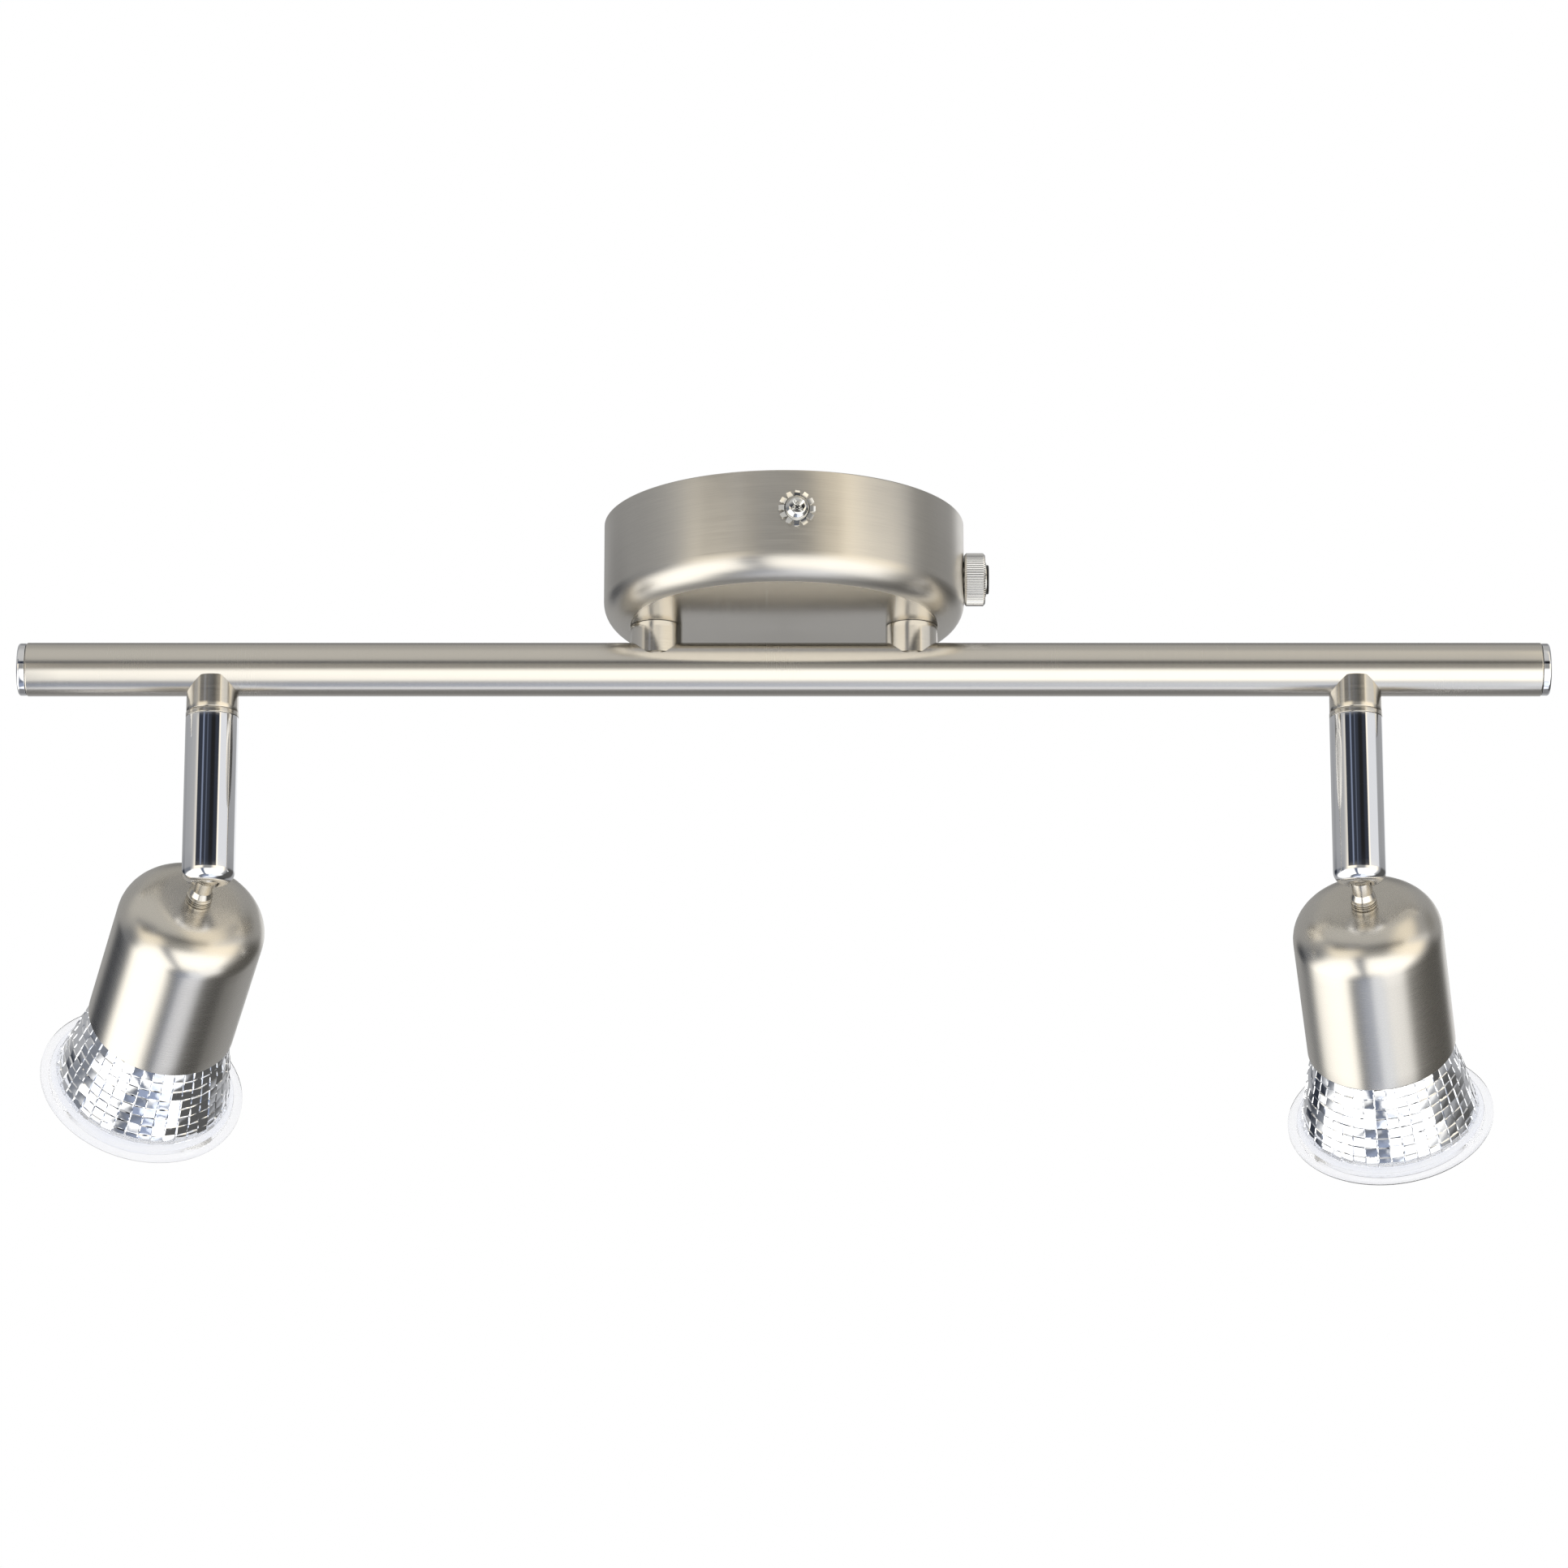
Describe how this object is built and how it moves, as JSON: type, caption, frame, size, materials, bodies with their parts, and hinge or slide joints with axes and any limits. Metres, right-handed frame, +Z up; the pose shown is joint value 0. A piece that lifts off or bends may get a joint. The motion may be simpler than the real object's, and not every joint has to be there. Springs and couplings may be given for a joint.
{
  "type": "ceiling spotlight bar",
  "caption": "Ceiling spotlight bar: a round canopy carries a straight tube on saddle posts, with a swivelling, tilting bell head and reflector lamp under each end.",
  "frame": {"origin": "centre of the canopy's ceiling face", "axes": "+X along the bar, +Y the side that the heads point to in the stored pose, +Z up at the ceiling"},
  "size_m": [0.3646, 0.1222, 0.152],
  "materials": {
    "brushed_nickel": "satin nickel, brushed",
    "chrome": "polished",
    "zinc_steel": "zinc plated",
    "brass": "turned",
    "terminal_plastic": "moulded",
    "black_plastic": "moulded",
    "live_insulation": "extruded",
    "neutral_insulation": "extruded",
    "earth_insulation": "extruded",
    "lamp_lead_insulation": "silicone, extruded",
    "porcelain": "glazed steatite",
    "mirrored_glass": "facetted, vacuum metallised",
    "clear_glass": "clear",
    "led_board": "white board with a phosphor disc"
  },
  "bodies": {
    "root": {"canopy": "brushed_nickel", "knurled_nut": "brushed_nickel", "entry_nipple": "brushed_nickel", "post_left": "brushed_nickel", "post_right": "brushed_nickel", "bar_tube": "brushed_nickel", "saddle_left": "brushed_nickel", "saddle_right": "brushed_nickel", "swivel_rings": "brushed_nickel", "end_cap_left": "chrome", "end_cap_right": "chrome", "ceiling_bracket": "zinc_steel", "canopy_screws": "zinc_steel", "star_washers": "zinc_steel", "terminal_screws": "zinc_steel", "entry_locknut": "zinc_steel", "post_nipples": "zinc_steel", "post_nuts": "zinc_steel", "swivel_nipples": "zinc_steel", "swivel_nuts": "zinc_steel", "earth_screw": "brass", "terminal_inserts": "brass", "swivel_washers": "brass", "terminal_block": "terminal_plastic", "entry_bush": "black_plastic", "live_leads": "live_insulation", "neutral_leads": "neutral_insulation", "earth_lead": "earth_insulation"},
    "arm_left": {"arm_tube_left": "chrome", "pressure_cup_left": "brass", "disc_springs_left": "zinc_steel", "arm_leads_left": "lamp_lead_insulation"},
    "head_left": {"ball_stud_left": "brushed_nickel", "head_shell_left": "brushed_nickel", "stud_nut_left": "zinc_steel", "holder_bracket_left": "zinc_steel", "holder_screws_left": "zinc_steel", "lampholder_left": "porcelain", "head_leads_left": "lamp_lead_insulation"},
    "lamp_left": {"lamp_base_left": "porcelain", "lamp_pins_left": "zinc_steel", "lamp_bowl_left": "mirrored_glass", "lamp_lens_left": "clear_glass", "led_board_left": "led_board"},
    "arm_right": {"arm_tube_right": "chrome", "pressure_cup_right": "brass", "disc_springs_right": "zinc_steel", "arm_leads_right": "lamp_lead_insulation"},
    "head_right": {"ball_stud_right": "brushed_nickel", "head_shell_right": "brushed_nickel", "stud_nut_right": "zinc_steel", "holder_bracket_right": "zinc_steel", "holder_screws_right": "zinc_steel", "lampholder_right": "porcelain", "head_leads_right": "lamp_lead_insulation"},
    "lamp_right": {"lamp_base_right": "porcelain", "lamp_pins_right": "zinc_steel", "lamp_bowl_right": "mirrored_glass", "lamp_lens_right": "clear_glass", "led_board_right": "led_board"}
  },
  "joints": [
    {"name": "arm_pan_left", "type": "hinge", "parent": "root", "child": "arm_left", "pos_m": [-0.1359, 0, -0.0848], "axis": [0, 0, 1], "range_deg": [-193.6, 156.4]},
    {"name": "head_tilt_left", "type": "hinge", "parent": "arm_left", "child": "head_left", "pos_m": [-0.1359, 0, -0.0848], "axis": [0.9478, 0.319, 0], "range_deg": [-59.6, 30.4]},
    {"name": "lamp_twist_left", "type": "hinge", "parent": "head_left", "child": "lamp_left", "pos_m": [-0.1359, 0, -0.0848], "axis": [-0.2751, 0.8175, -0.506], "range_deg": [-18, 0]},
    {"name": "arm_pan_right", "type": "hinge", "parent": "root", "child": "arm_right", "pos_m": [0.1359, 0, -0.0848], "axis": [0, 0, 1], "range_deg": [-163.8, 186.2]},
    {"name": "head_tilt_right", "type": "hinge", "parent": "arm_right", "child": "head_right", "pos_m": [0.1359, 0, -0.0848], "axis": [0.981, -0.1942, 0], "range_deg": [-51.3, 38.7]},
    {"name": "lamp_twist_right", "type": "hinge", "parent": "head_right", "child": "lamp_right", "pos_m": [0.1359, 0, -0.0848], "axis": [0.1516, 0.7656, -0.6252], "range_deg": [-18, 0]}
  ]
}
